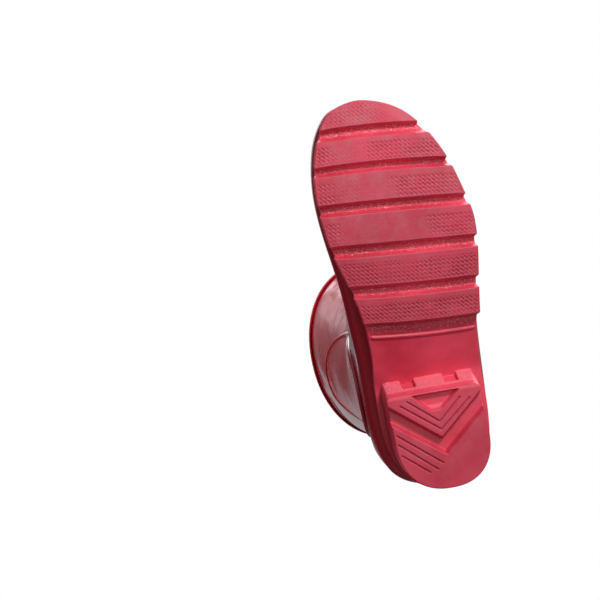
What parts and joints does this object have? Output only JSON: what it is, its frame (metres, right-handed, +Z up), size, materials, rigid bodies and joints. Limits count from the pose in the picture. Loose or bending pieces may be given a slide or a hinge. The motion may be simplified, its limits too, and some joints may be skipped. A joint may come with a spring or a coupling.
{
  "type": "rubber rain boot",
  "caption": "Tall red rubber rain boot for the left foot, with a barred forefoot tread and a raised heel with a V channel.",
  "frame": {"origin": "centre of the heel's tread, on the ground the boot stands on", "axes": "+Z up the leg, -Y towards the toe, +X towards the outer side of the foot, -X towards the inner side"},
  "size_m": [0.1222, 0.3185, 0.378],
  "materials": {
    "sole_rubber": "matte",
    "gloss_rubber": "gloss",
    "overlay_rubber": "gloss",
    "cork": "matte",
    "spring_steel": "satin",
    "fibreboard": "matte",
    "knit_lining": "matte",
    "foam": "matte",
    "footbed_fabric": "matte"
  },
  "bodies": {
    "root": {"outsole": "sole_rubber", "heel_block": "sole_rubber", "heel_plug": "cork", "foxing_band": "sole_rubber", "foot_shell": "gloss_rubber", "leg_shell": "gloss_rubber", "toe_cap": "overlay_rubber", "heel_counter": "overlay_rubber", "ankle_patch": "overlay_rubber", "ankle_strip": "overlay_rubber", "back_stay": "overlay_rubber", "top_binding": "overlay_rubber", "shank": "spring_steel", "sole_filler": "cork", "insole_board": "fibreboard", "foot_lining": "knit_lining", "leg_lining": "knit_lining", "footbed_foam": "foam", "footbed_cloth": "footbed_fabric"}
  },
  "joints": []
}
